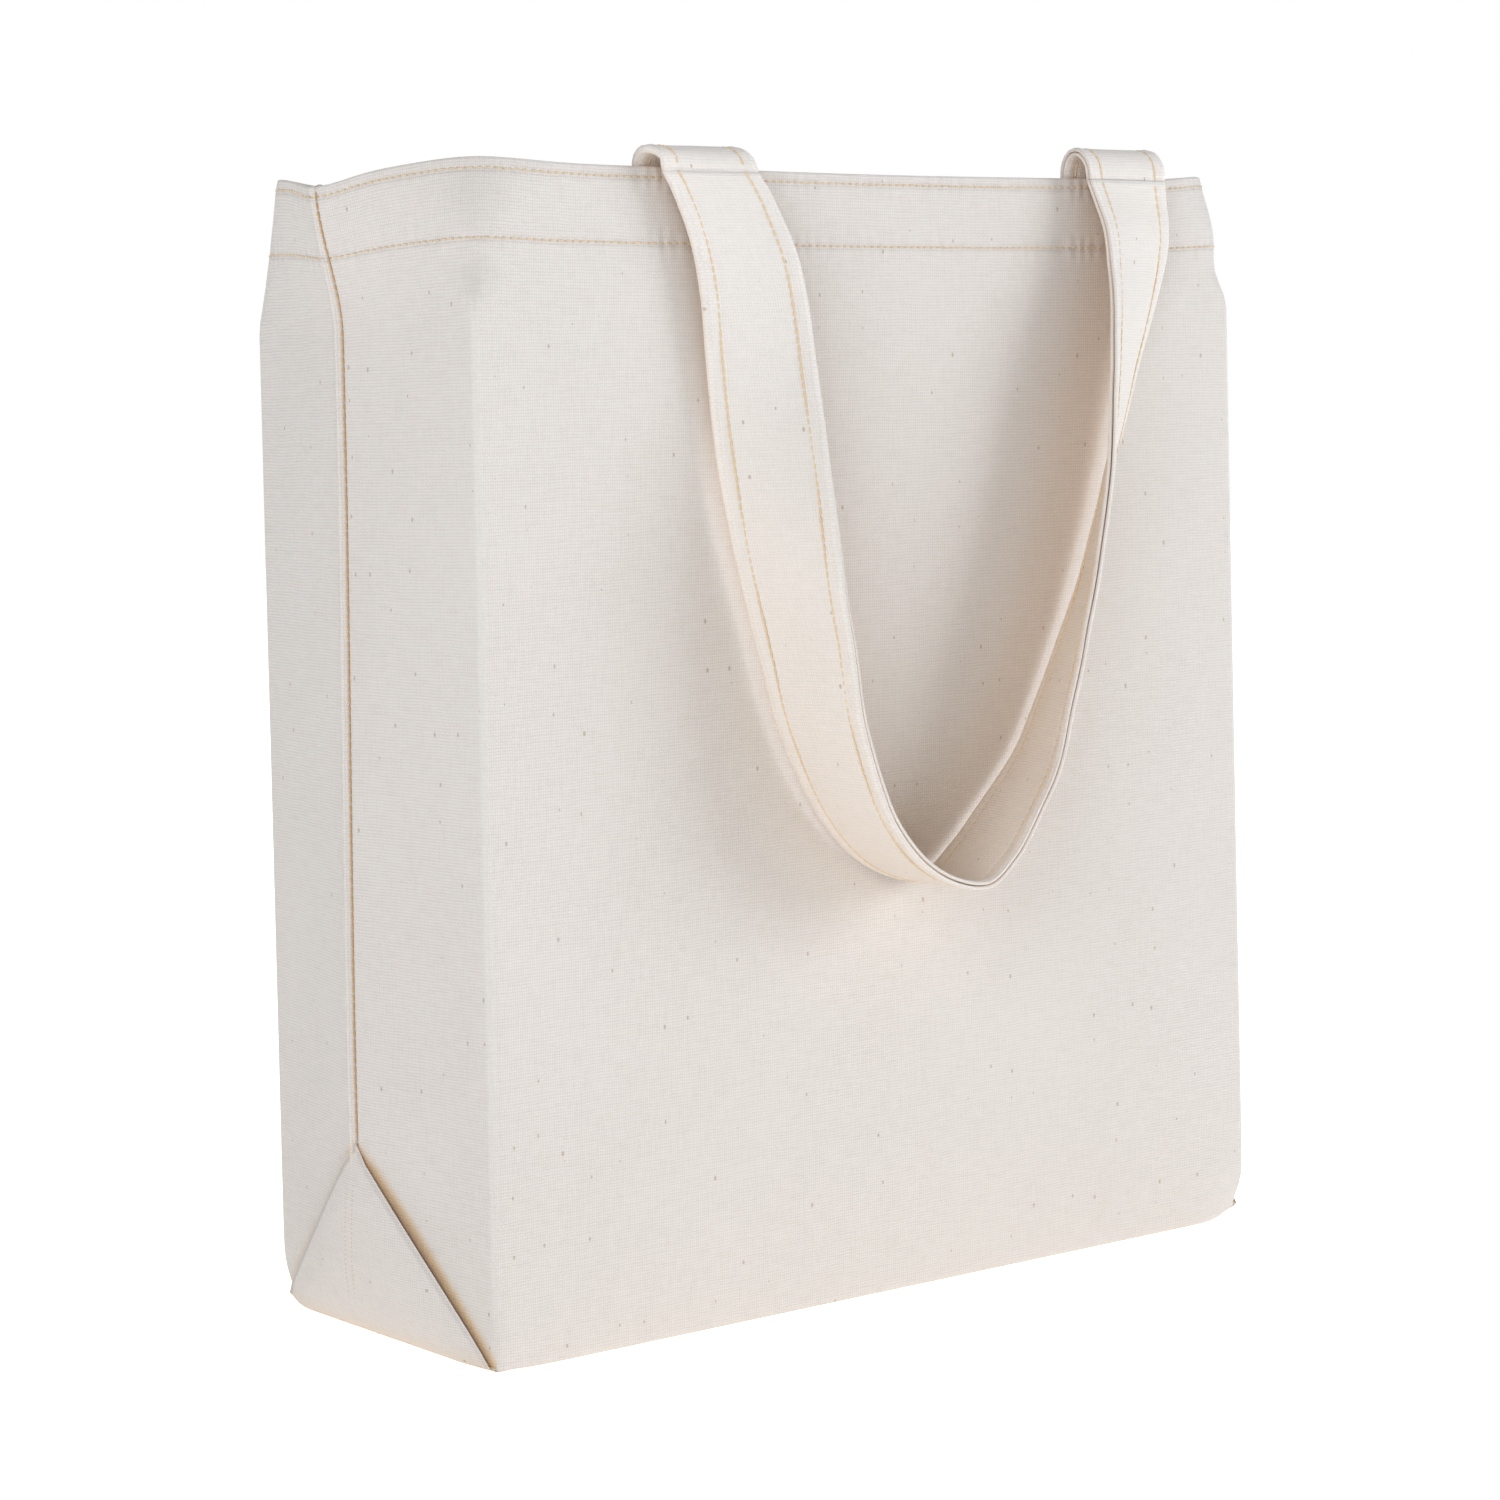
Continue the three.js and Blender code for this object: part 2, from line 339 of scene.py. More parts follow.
canvasLook = {
    "light": (0.785, 0.755, 0.738, 1),
    "dark": (0.55, 0.51, 0.472, 1),
    "fleck": (0.33, 0.22, 0.12, 1),
    "hole": (0.46, 0.34, 0.22, 1),
    # the next colour is painted warm shade, for the flaps' crooks, feet and the cloth under them
    "crookShade": (0.97, 0.79, 0.53, 1),
    "dot": (0.60, 0.45, 0.28, 1),
    # the next colour is a painted highlight along the wall creases
    "pressed": (0.86, 0.84, 0.82, 1),
    # the next colour warms light bounced off the cloth, a painted warm tint in the shade
    "bounce": (1.0, 0.79, 0.53, 1),
    "roughness": 0.9,
    "sheen": 0.2,
    "weaveDepth": 0.12,  # mm
    "toneDepth": 0.05,
    "patchScale": 14.0,
    "weaveTone": 0.8,
    "patchTone": 0.2,
    # how far the weave's low spots are painted darker than its raised threads (painted shade)
    "paintedWeaveShade": 0.62,
    "toneRange": (0.24, 0.66),
    "toneShade": (0.22, 0.46),
    "fleckMix": 0.5,
    "holeMix": 0.5,
    "dotMix": 0.5,
    "creaseMix": 0.35,
    "bumpDistance": 0.001,
}
# painted light: the straps' cloth is the bag's canvas made lighter, for the light the straps catch
strapLitLook = dict(
    canvasLook,
    light=(0.87, 0.838, 0.818, 1),
    dark=(0.69, 0.648, 0.608, 1),
    weaveDepth=0.14,
)
threadLook = {
    "light": (0.86, 0.76, 0.59, 1),
    "dark": (0.76, 0.62, 0.43, 1),
    "seamLight": (0.78, 0.60, 0.36, 1),
    "seamDark": (0.55, 0.36, 0.17, 1),
    "roughness": 0.6,
    "sheen": 0.15,
    "twist": 16.0,
    "plyEdge": 0.6,
    "seamSide": (0.174, 0.178),  # the seam's own thread is a deeper colour
    "seamHalf": (0.002, 0.003),
    "bumpDistance": 0.0002,
}


def plainMaterial(name, look):
    material = bpy.data.materials.new(name)
    material.use_nodes = True
    tree = material.node_tree
    shader = tree.nodes["Principled BSDF"]
    shader.inputs["Roughness"].default_value = look["roughness"]
    shader.inputs["Sheen Weight"].default_value = look["sheen"]
    shader.inputs["Sheen Roughness"].default_value = 0.5
    shader.inputs["Specular IOR Level"].default_value = 0.2
    return material, tree, shader


folding = {
    "halfWidth": 0.175,
    "halfDepth": 0.07,
    "edge": (0.0038, 1.1),  # how wide the rounded edge is, and how far it turns away
    "crookShade": 0.0068,
    "crookTop": (0.060, 0.074),
    "footShade": (0.009, 0.3),
    "crease": (0.0006, 0.003),
    "creaseFoot": (0.004, 0.03),
    "creaseTop": (0.345, 0.362),
    "lean": 0.15,  # the show of stitches runs at a slant
    "columns": 0.0021,
    "dot": (0.0003, 0.0008),
    "dotPitch": 0.0017,
    "bead": (-0.2, 0.9),
    "dotsFrom": (0.008, 0.02),
    "dotsTo": (0.05, 0.06),
}


# where the flaps fold: a rounded edge, painted warm shade in the crook, along the flap's foot and on the
# cloth under it, a painted highlight along the wall creases, a show of stitches
def makeFoldMarkGroup(look):
    tree, given, out = newGroup(
        "foldMarks",
        [
            ("Vector", vectorSocket, None),
            ("Half Width", floatSocket, look["halfWidth"]),
            ("Half Depth", floatSocket, look["halfDepth"]),
        ],
        [(label, floatSocket) for label in ("WarmShade", "Dots", "Height", "Crease")],
    )
    parts = split(tree, given["Vector"])
    past = maths(tree, "SUBTRACT", magnitude(tree, parts[0]), given["Half Width"])
    up = maths(tree, "SUBTRACT", magnitude(tree, parts[1]), given["Half Depth"])
    beyond = maths(tree, "GREATER_THAN", past, 0.0)
    onFlap = maths(tree, "MULTIPLY", beyond, maths(tree, "LESS_THAN", up, 0.0))
    onWall = maths(tree, "MULTIPLY", beyond, maths(tree, "GREATER_THAN", up, 0.0))
    beyondSlant = maths(tree, "ADD", past, up)
    edgeWidth, edgeTurn = look["edge"]
    edge = ramp(tree, magnitude(tree, beyondSlant), 0.0, edgeWidth, -edgeTurn, 0.0)
    feed(tree, out["Height"], maths(tree, "MULTIPLY", onFlap, edge))
    behind = magnitude(tree, maths(tree, "SUBTRACT", past, up))
    # painted warm shade in the crook between a flap's slanted fold and the wall
    crookShade = ramp(tree, behind, 0.0, look["crookShade"], 1.0, 0.0)
    crookShade = product(tree, crookShade, ramp(tree, up, *look["crookTop"], 1.0, 0.0), onWall)
    # painted warm shade along the foot of the flap, where it turns under
    footHeight, footShadeAmount = look["footShade"]
    footShade = maths(tree, "MULTIPLY", onFlap, ramp(tree, past, 0.0, footHeight, footShadeAmount, 0.0))
    # painted warm shade on the cloth folded under the flap
    inner = maths(tree, "MULTIPLY", onFlap, maths(tree, "GREATER_THAN", beyondSlant, 0.0))
    crookShade = maths(tree, "MAXIMUM", crookShade, inner)
    feed(tree, out["WarmShade"], maths(tree, "MAXIMUM", crookShade, footShade))
    # painted highlight: a lighter band along the walls' vertical creases
    pressed = ramp(tree, magnitude(tree, past), *look["crease"], 1.0, 0.0)
    reach = product(
        tree, ramp(tree, up, *look["creaseFoot"]), ramp(tree, up, *look["creaseTop"], 1.0, 0.0), pressed
    )
    feed(tree, out["Crease"], reach)
    drift = maths(tree, "MULTIPLY", maths(tree, "SUBTRACT", given["Half Depth"], past), look["lean"])
    off = magnitude(tree, maths(tree, "SUBTRACT", parts[1], drift))
    off = maths(tree, "SUBTRACT", off, look["columns"])
    column = ramp(tree, magnitude(tree, off), *look["dot"], 1.0, 0.0)
    beads = maths(tree, "SINE", maths(tree, "MULTIPLY", past, 2 * pi / look["dotPitch"]))
    beads = ramp(tree, beads, *look["bead"])
    span = product(
        tree, ramp(tree, past, *look["dotsFrom"]), ramp(tree, past, *look["dotsTo"], 1.0, 0.0), onFlap
    )
    feed(tree, out["Dots"], product(tree, column, beads, span))
    return tree


foldMarks = makeFoldMarkGroup(folding)


# rows: (coordinate along, list of places across)
def makeClothMaterial(name, look, rows, folds=False):
    material, tree, shader = plainMaterial(name, look)
    cloth = addNode(tree, "ShaderNodeUVMap", uv_map="cloth").outputs[0]
    parts = split(tree, cloth)

    def blended(amount, mix, below, above):
        return mixColour(tree, maths(tree, "MULTIPLY", amount, look[mix]), below, above)

    weave = placeGroup(tree, canvasWeave, Vector=cloth)
    patches = noiseAt(tree, cloth, look["patchScale"], 3.0)
    weaveTone = maths(tree, "MULTIPLY", weave["Tone"], look["weaveTone"])
    tone = maths(tree, "ADD", weaveTone, maths(tree, "MULTIPLY", patches, look["patchTone"]))
    # painted shade: the weave's low spots darker, its raised threads lighter; the slub tone added next
    # is the yarn's own
    paintedWeaveShade = maths(tree, "MULTIPLY", weave["Height"], look["paintedWeaveShade"])
    toneAndWeaveShade = maths(tree, "ADD", paintedWeaveShade, ramp(tree, tone, *look["toneRange"], *look["toneShade"]))
    colour = mixColour(tree, toneAndWeaveShade, look["dark"], look["light"])
    flecks = placeGroup(tree, seedFlecks, Vector=cloth)
    colour = blended(flecks["Mask"], "fleckMix", colour, look["fleck"])
    height = maths(tree, "MULTIPLY", weave["Height"], look["weaveDepth"])
    height = maths(tree, "ADD", height, maths(tree, "MULTIPLY", tone, look["toneDepth"]))
    for axis, places in rows:
        along, across = parts[axis], parts[1 - axis]
        for place in places:
            offset = maths(tree, "SUBTRACT", magnitude(tree, across), place)
            row = placeGroup(tree, sewnRow, Along=along, Across=offset)
            colour = blended(row["Holes"], "holeMix", colour, look["hole"])
            height = maths(tree, "ADD", height, row["Height"])
    if folds:
        marks = placeGroup(tree, foldMarks, Vector=cloth)
        # painted warm shade: the cloth is multiplied by the crook colour where the marks say
        deeper = mixColour(tree, 1.0, colour, look["crookShade"], "MULTIPLY")
        colour = mixColour(tree, marks["WarmShade"], colour, deeper)
        colour = blended(marks["Dots"], "dotMix", colour, look["dot"])
        # painted highlight along the creases
        colour = blended(marks["Crease"], "creaseMix", colour, look["pressed"])
        height = maths(tree, "ADD", height, marks["Height"])
    relief = addNode(tree, "ShaderNodeBump")
    relief.inputs["Distance"].default_value = look["bumpDistance"]
    relief.inputs["Strength"].default_value = 1.0
    feed(tree, relief.inputs["Height"], height)
    feed(tree, shader.inputs["Normal"], relief.outputs[0])
    # painted warm shade: light bounced off the cloth takes a warmer colour than the cloth's own, to warm
    # its shadows
    bounced = addNode(tree, "ShaderNodeLightPath").outputs["Is Diffuse Ray"]
    warmer = mixColour(tree, 1.0, colour, look["bounce"], "MULTIPLY")
    colour = mixColour(tree, bounced, colour, warmer)
    feed(tree, shader.inputs["Base Color"], colour)
    return material


def makeThreadMaterial(name, look):  # two plies twisted round each other
    material, tree, shader = plainMaterial(name, look)
    around = split(tree, addNode(tree, "ShaderNodeUVMap", uv_map="UVMap").outputs[0])
    turns = maths(tree, "MULTIPLY", around[0], 2 * pi)
    slant = maths(tree, "ADD", turns, maths(tree, "MULTIPLY", around[1], look["twist"]))
    ply = magnitude(tree, maths(tree, "SINE", slant))
    twist = ramp(tree, ply, 0.0, look["plyEdge"])
    place = split(tree, addNode(tree, "ShaderNodeTexCoord").outputs["Object"])
    onSide = ramp(tree, magnitude(tree, place[0]), *look["seamSide"])
    midway = ramp(tree, magnitude(tree, place[1]), *look["seamHalf"], 1.0, 0.0)
    onSeam = maths(tree, "MULTIPLY", onSide, midway)
    # painted shade: the grooves between the plies are darker and their crowns lighter, on both the pale
    # and the seam thread
    pale = mixColour(tree, twist, look["dark"], look["light"])
    deep = mixColour(tree, twist, look["seamDark"], look["seamLight"])
    colour = mixColour(tree, onSeam, pale, deep)
    relief = addNode(tree, "ShaderNodeBump")
    relief.inputs["Distance"].default_value = look["bumpDistance"]
    feed(tree, relief.inputs["Height"], ply)
    feed(tree, shader.inputs["Normal"], relief.outputs[0])
    feed(tree, shader.inputs["Base Color"], colour)
    return material


# ---- the bag's one piece of cloth ----

bag = {
    "width": 0.350,
    "depth": 0.140,
    "height": 0.400,
    "mouthInset": 0.004,  # how far the creases lean in by the mouth
    "seamStandOff": (0.0105, 0.008),  # above the flap, and below the hem
    "mouthFlare": 0.0095,
    "mouthRadius": 0.031,
    "creaseRadius": 0.003,
    "foldRadius": 0.0025,
    "hem": 0.028,
    "turnUnder": 0.010,
    "allowance": 0.010,
    "rows": (0.004, 0.026),  # hem stitching, below the rim
    "seamRow": 0.0007,
    "thickness": 0.0007,
    "layer": 0.00075,  # outer face to outer face, where the cloth lies on itself
    "flapReach": (0.0025, 0.009, 0.015),  # start, lean and how quickly it leans
    "flapEdge": (0.0015, 0.0006),  # how far the flap's edge stands off the wall, and its bulge
    "dip": (0.0042, 0.02),  # of the rim: depth and reach at the seams, corners and middle
    "raise": (0.0022, 0.028),
    "sag": (0.0009, 0.09),
    "groove": (0.0011, 0.0009),  # the cloth drawn in by the seam
    "ridge": (0.0017, 0.0024, 0.0014),
    "turn": 0.0012,  # half of what the cloth takes to turn over the rim
    "offFloor": 0.0009,
    "soft": (0.001, 0.0044, 0.0032),  # how far a bottom corner gives along x, y and z
    "softReach": 0.011,
    "crisp": 0.25,
    "slack": ((0.0011, 0.11), (0.0006, 0.045)),  # size and length of the waves in the walls
    "cell": 0.005,
}
halfWidth, halfDepth, rim = bag["width"] / 2, bag["depth"] / 2, bag["height"]
hemEdge = rim - bag["hem"]


def creaseX(z):
    return halfWidth - bag["mouthInset"] * z / rim


def seamX(z):
    low, high = bag["seamStandOff"]
    stand = low * (1 - exp(-z / 0.02)) + (high - low) * ease(halfDepth, 0.33, z)
    return creaseX(z) + stand + bag["mouthFlare"] * ease(0.345, 0.402, z)


def cornerRadius(z, front):
    spread = 0.45 * ease(0.352, 0.368, z) + 0.55 * ease(0.376, 0.402, z)
    if front > 0:
        spread = 1.2 * min(max((z - 0.35) / 0.05, 0), 1)
    return bag["creaseRadius"] + bag["mouthRadius"] * spread


def softCorner(a, corner, b, t):  # a rounded turn from a to b
    return a * (1 - t) ** 2 + corner * (2 * t * (1 - t)) + b * t**2


def outline(u, z, front):  # where the wall stands at a distance u along it from the middle of the front
    side = 1 if u >= 0 else -1
    past = abs(u) - halfWidth
    corner = Vector((creaseX(z), -halfDepth, 0))
    along = Vector((seamX(z), 0, 0)) - corner
    along /= halfDepth
    radius = cornerRadius(z, front)
    if past < -radius:
        point = corner * 1
        point.x *= abs(u) / halfWidth
    elif past > radius:
        point = corner + along * past
    else:
        start = Vector((corner.x * (halfWidth - radius) / halfWidth, corner.y, 0))
        point = softCorner(start, corner, corner + along * radius, (past + radius) / (2 * radius))
    point.x *= side
    return point


def rimDip(u, z):  # the rim drops at the side seams, stands up at the corners and sags between them
    fromSeam = halfWidth + halfDepth - abs(u)
    (dip, dipReach), (lift, liftReach), (sag, sagReach) = bag["dip"], bag["raise"], bag["sag"]
    drop = dip * bump(fromSeam, dipReach) - lift * bump(abs(u) - halfWidth, liftReach)
    return (drop + sag * bump(u, sagReach)) * ease(0.34, rim, z)


def wallPoint(u, z, inset, front):  # front is -1 for the front cloth and 1 for the back cloth
    top = halfWidth + halfDepth
    side = 1 if u >= 0 else -1
    uu = min(abs(u), top) * side
    step = 0.0005
    here = outline(uu, z, front)
    before, after = (max(min(uu + move, top), -top) for move in (-step, step))
    ahead = outline(after, z, front) - outline(before, z, front)
    outward = Vector((ahead.y, -ahead.x, 0)).normalized()
    point = here - outward * inset
    fromSeam = top - abs(uu)
    depth, reach = bag["groove"]
    dip = depth * exp(-fromSeam / reach)
    if front > 0:
        height, place, reach = bag["ridge"]
        flatter = 1 - 0.5 * ease(hemEdge, hemEdge + 0.01, z)
        dip -= height * bump(fromSeam - place, reach) * flatter
    point.x -= side * dip
    if abs(u) > top:
        reach = (abs(u) - top) * (1 - 0.85 * ease(hemEdge - 0.006, hemEdge, z))
        spread = 0.0001 + 0.0015 * (1 - ease(halfDepth, halfDepth + 0.006, z))
        point.x -= side * (reach + 0.0004)
        point.y = -spread * ease(0, 0.0012, abs(u) - top) - 0.0001
    point.z = z - rimDip(uu, z)
    point.y *= -front
    return point


def flapX(z, y=0):
    start, lean, quick = bag["flapReach"]
    middle = halfWidth + start * ease(-0.002, 0.006, z) + lean * (1 - exp(-z / quick))
    middle += (seamX(z) + 0.0003 - middle) * ease(0.05, halfDepth, z)
    toEdge = min(abs(y) / max(halfDepth - z, 0.001), 1)
    wall = creaseX(z) + (seamX(z) - creaseX(z)) * (1 - abs(y) / halfDepth)
    standOff, bulge = bag["flapEdge"]
    edge = wall + standOff + bulge * sin(pi * min(max(z / halfDepth, 0), 1))
    return middle + (min(edge, middle) - middle) * toEdge**2 * ease(-0.001, 0.003, z)


def basePoint(u, w):
    side = 1 if u >= 0 else -1
    turned = 1 if w >= 0 else -1
    h = abs(u) - halfWidth
    z = halfDepth - abs(w)
    if h <= 0:
        rise = 0.0006 * (ripple(Vector((u, w, 0)), 0.05, 3) + 0.6) * ease(0, 0.02, z)
        near = ease(-0.004, 0, h)
        point = Vector((abs(u) + 0.0012 * near, w, max(rise, 0) + 0.0008 * near))
    elif h > halfDepth:  # caught in the side seam and carried inside
        point = Vector((seamX(z) - 0.0016 - (h - halfDepth), turned * 0.0001, z))
    elif h <= z + 1e-7:
        point = Vector((flapX(h, w), w, h * (1 - 0.25 * exp(-h / 0.002))))
    else:
        under = ease(0, 0.0012, h - z)
        inward = turned * (halfDepth - h)
        point = Vector((flapX(z, inward) - 2 * bag["layer"] * under, inward, max(z, bag["offFloor"])))
    point.x *= side
    return point


def facingInset(z):  # the turned-under edge pads out the bottom of the facing
    return bag["layer"] * (3 - ease(hemEdge + bag["turnUnder"], hemEdge + bag["turnUnder"] + 0.002, z))


def foldedPoint(u, v):  # v runs from the middle of the base up the front (negative) or the back
    front = -1 if v < 0 else 1
    z = abs(v) - halfDepth
    half = bag["turn"]
    if z < 0:
        point = basePoint(u, v)
    elif z <= rim - half:
        point = wallPoint(u, z, 0, front)
    elif z < rim + half:
        turn = (z - rim + half) / (2 * half) * pi
        point = wallPoint(u, rim, bag["layer"] * (1 - cos(turn)), front)
        point.z += bag["layer"] * sin(turn) - half
    elif z <= rim + bag["hem"]:
        point = wallPoint(u, 2 * rim - z, facingInset(2 * rim - z), front)
    else:
        back = z - rim - bag["hem"]
        point = wallPoint(u, hemEdge + back, bag["layer"] * (3 - 2 * ease(0, 0.0012, back)), front)
    r = bag["foldRadius"]
    if abs(u) < halfWidth and abs(z) < r:  # the pressed fold between base and wall
        low = Vector((halfDepth - r, 0, 0))
        turned = softCorner(low, low + Vector((r, 0, 0)), low + Vector((r, r, 0)), (z + r) / (2 * r))
        fade = 1 - ease(halfWidth - 0.012, halfWidth, abs(u))
        point.y += (front * turned.x - point.y) * fade
        point.z += (turned.y - point.z) * fade
    if abs(u) - halfWidth > max(-z, 1e-6):  # the layers under the flap stay just off the floor
        point.z = max(point.z, bag["offFloor"])
    corner = Vector((halfWidth, halfDepth, 0))
    fromCorner = (Vector((abs(point.x), abs(point.y), point.z)) - corner).length
    soften = bump(fromCorner, bag["softReach"])
    soften *= 1 if point.x * point.y < 0 else bag["crisp"]  # two of the four corners stay crisp
    giveX, giveY, giveZ = bag["soft"]
    point.x -= (1 if point.x > 0 else -1) * giveX * soften
    point.y -= (1 if point.y > 0 else -1) * giveY * soften
    point.z += giveZ * soften
    return point


def drape(point, u, v):  # the slack of the cloth, straight out of or into each wall
    z = abs(v) - halfDepth
    if z < 0:
        return Vector((0, 0, 0))
    flat = Vector((u, v, 0))
    held = ease(0, 0.03, abs(abs(u) - halfWidth)) * ease(0, 0.05, z)
    (broad, broadLength), (fine, fineLength) = bag["slack"]
    slack = broad * ripple(flat, broadLength, 1) + fine * ripple(flat, fineLength, 2)
    slack *= held
    free = 1 - ease(hemEdge - 0.01, hemEdge + 0.01, z)
    slack *= 0.45 + 0.55 * free
    seamHold = ease(0, 0.012, halfWidth + halfDepth - abs(u))
    slack *= seamHold
    if abs(u) < halfWidth:
        return Vector((0, slack * (1 if v > 0 else -1), 0))
    return Vector((slack * (1 if u > 0 else -1), 0, 0))


def makeBagCloth(material):
    marks = [0, 0.00125, 0.0025, 0.004, 0.007]  # cells close up at every fold
    marks += [0.063, 0.0655, 0.0666, 0.0676, 0.0684, 0.0692, 0.07]
    fold = stops(marks, bag["cell"])
    across = stops([0, halfWidth - 0.022, halfWidth - 0.004], bag["cell"])
    across = across + [halfWidth - 0.0025, halfWidth - 0.00125] + [halfWidth + x for x in fold]
    across += [halfWidth + halfDepth + x for x in (0.0006, 0.0014, 0.005, 0.010)]
    up = [halfDepth - x for x in reversed(fold)]
    marks = [0, 0.00125, 0.0025, 0.004, 0.007, hemEdge - 0.002, hemEdge, hemEdge + 0.002]
    marks += [rim - 0.0225, rim - 0.007, rim - 0.005, rim - 0.003, rim - 0.0012]
    wall = stops(marks, 0.0045)
    turn = [rim + bag["turn"] * x for x in (-0.66, -0.33, 0, 0.33, 0.66, 1)]
    facing = stops([rim + 0.003, rim + bag["hem"] - bag["turnUnder"] - 0.002, rim + bag["hem"]], 0.002)
    under = [rim + bag["hem"] + x for x in (0.0006, 0.0012, 0.005, bag["turnUnder"])]
    up += [halfDepth + z for z in wall[1:] + turn + facing + under]
    across, up = mirroredStops(across), mirroredStops(up)
    bm = bmesh.new()
    columns, rows = len(across) - 1, len(up) - 1
    bmesh.ops.create_grid(bm, x_segments=columns, y_segments=rows, size=0.5)
    cloth = bm.loops.layers.uv.new("cloth")
    for vert in bm.verts:
        vert.co.x = across[round((vert.co.x + 0.5) * columns)]
        vert.co.y = up[round((vert.co.y + 0.5) * rows)]
    for face in bm.faces:
        for loop in face.loops:
            loop[cloth].uv = loop.vert.co.xy
    bmesh.ops.reverse_faces(bm, faces=bm.faces)

    def onSlant(vert):  # the flaps' slanted folds run through the corners of their cells
        h = abs(vert.co.x) - halfWidth
        return -1e-6 < h < halfDepth + 1e-6 and abs(h + abs(vert.co.y) - halfDepth) < 1e-6

    slanted = [f for f in bm.faces if sum(onSlant(v) for v in f.verts) == 2]
    for face in slanted:
        a, b = [v for v in face.verts if onSlant(v)]
        if not any(e.other_vert(a) == b for e in a.link_edges):
            bmesh.utils.face_split(face, a, b)
    for edge in bm.edges:
        edge.smooth = not all(onSlant(v) for v in edge.verts)
    for vert in bm.verts:
        u, v = vert.co.x, vert.co.y
        place = foldedPoint(u, v)
        vert.co = place + drape(place, u, v)
    piece = finishPiece(bm, "bagCloth", material)
    thicken(piece, bag["thickness"], -1)
    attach(piece, "root")
    nodes = ["front_panel", "back_panel", "base_panel"]
    nodes += [f"{side}_side_{end}_half" for side in ("left", "right") for end in ("front", "back")]
    extras = ("corner_flap", "seam_allowance")
    nodes += [f"{side}_{what}" for side in ("left", "right") for what in extras]
    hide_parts(*nodes)
    return piece, (across[-1] - across[0], up[-1] - up[0])


hemRows = [halfDepth + rim - row for row in bag["rows"]]
canvas = makeClothMaterial("canvas", canvasLook, [(0, hemRows)], folds=True)
strapLitCanvas = makeClothMaterial("strapLitCanvas", strapLitLook, [])
threadFinish = makeThreadMaterial("thread", threadLook)

bagCloth, bagCut = makeBagCloth(canvas)
print("bag cloth folded, cut", [round(x, 3) for x in bagCut])

# ---- straps ----

strap = {
    "width": 0.038,
    "thickness": 0.0028,
    "cloth": 0.0006,
    "hemDepth": 0.0018,  # the strap's ends lie inside the hem, with a little room
    "sewnGap": 0.0003,
    "layers": (0.00105, 0.00035),  # middle of the outer and the inner layer
    "rawEdge": 0.002,  # how far the inner layers stop short of the spine
    "foldedEdge": 0.0009,
    "legSpacing": 0.194,
    "offset": 0.012,
    "drop": 0.250,
    "reach": 0.006,
    "edgeClearance": 0.003,
    "turnFade": 0.083,
    "rowInset": 0.0055,
    "archHeights": {"front": (0.0049, 0.0086), "back": (0.0028, 0.0028)},
    "archStations": 8,
    "step": 0.0022,
}
sewnY = -halfDepth + strap["hemDepth"] + strap["sewnGap"] + strap["thickness"] / 2
hangY = sewnY - 2 * strap["reach"]

# across (-1 and 1 at its legs), down (0 rim, 1 lowest) and turn of the strap in degrees
loopStations = [
    (-0.957, 0.01, 3), (-0.918, 0.034, 5), (-0.875, 0.074, 8), (-0.838, 0.118, 12),
    (-0.812, 0.17, 16), (-0.798, 0.24, 21), (-0.786, 0.328, 30), (-0.777, 0.408, 41),
    (-0.761, 0.488, 53), (-0.731, 0.568, 61), (-0.689, 0.648, 67), (-0.634, 0.752, 75),
    (-0.557, 0.836, 81), (-0.459, 0.904, 85), (-0.33, 0.958, 88), (-0.175, 0.99, 89.5),
    (-0.011, 1, 90.5), (0.128, 0.962, 92), (0.238, 0.916, 97), (0.398, 0.84, 106),
    (0.514, 0.748, 114), (0.624, 0.648, 121), (0.7, 0.572, 125), (0.766, 0.492, 129),
    (0.816, 0.424, 133), (0.868, 0.352, 139), (0.922, 0.276, 146), (0.982, 0.2, 155),
    (1.031, 0.132, 165), (1.045, 0.08, 170), (1.035, 0.036, 175), (1.02, 0.01, 179),
]


def loopPath():  # (place, turn) at each station
    path = []
    spareTop = -halfDepth - hangY - strap["edgeClearance"]
    for across, down, turn in loopStations:
        spare = spareTop * (1 - down) ** 2
        reach = strap["width"] / 2 * sin(radians(turn)) * min(down / strap["turnFade"], 1)
        x = strap["offset"] + across * strap["legSpacing"] / 2
        y = -halfDepth - strap["edgeClearance"] - spare - reach
        path.append((Vector((x, y, rim - down * strap["drop"])), turn))
    return path


def archPath(side, height, topX):  # from inside the hem, over the rim, to where the loop starts
    x = strap["offset"] + side * strap["legSpacing"] / 2
    count = strap["archStations"]
    turn = 0 if side < 0 else 180
    path = [(Vector((x, sewnY, hemEdge)), turn), (Vector((x, sewnY, rim - 0.012)), turn)]
    for i in range(count):
        angle = pi * i / count
        y = sewnY + (hangY - sewnY) * (1 - cos(angle)) / 2
        lean = (topX - x) * max(2 * i / count - 1, 0)
        path.append((Vector((x + lean, y, rim + sin(angle) * height)), turn))
    return path


def wholePath(heights):
    loop = loopPath()
    first = archPath(-1, heights[0], loop[0][0].x)
    last = archPath(1, heights[1], loop[-1][0].x)
    return first + loop + last[::-1], (len(first), len(first) + len(loop) - 1)


def knotGap(p, q):
    return max(sqrt((q - p).length), 1e-6)


def curvePoint(points, i, t):  # centripetal, so that close stations don't make it overshoot
    a, b, c, d = points[i : i + 4]
    t1 = knotGap(a, b)
    t2 = t1 + knotGap(b, c)
    t3 = t2 + knotGap(c, d)
    x = t1 + (t2 - t1) * t
    ab = a.lerp(b, x / t1)
    bc = b.lerp(c, (x - t1) / (t2 - t1))
    cd = c.lerp(d, (x - t2) / (t3 - t2))
    return ab.lerp(bc, x / t2).lerp(bc.lerp(cd, (x - t1) / (t3 - t1)), (x - t1) / (t2 - t1))


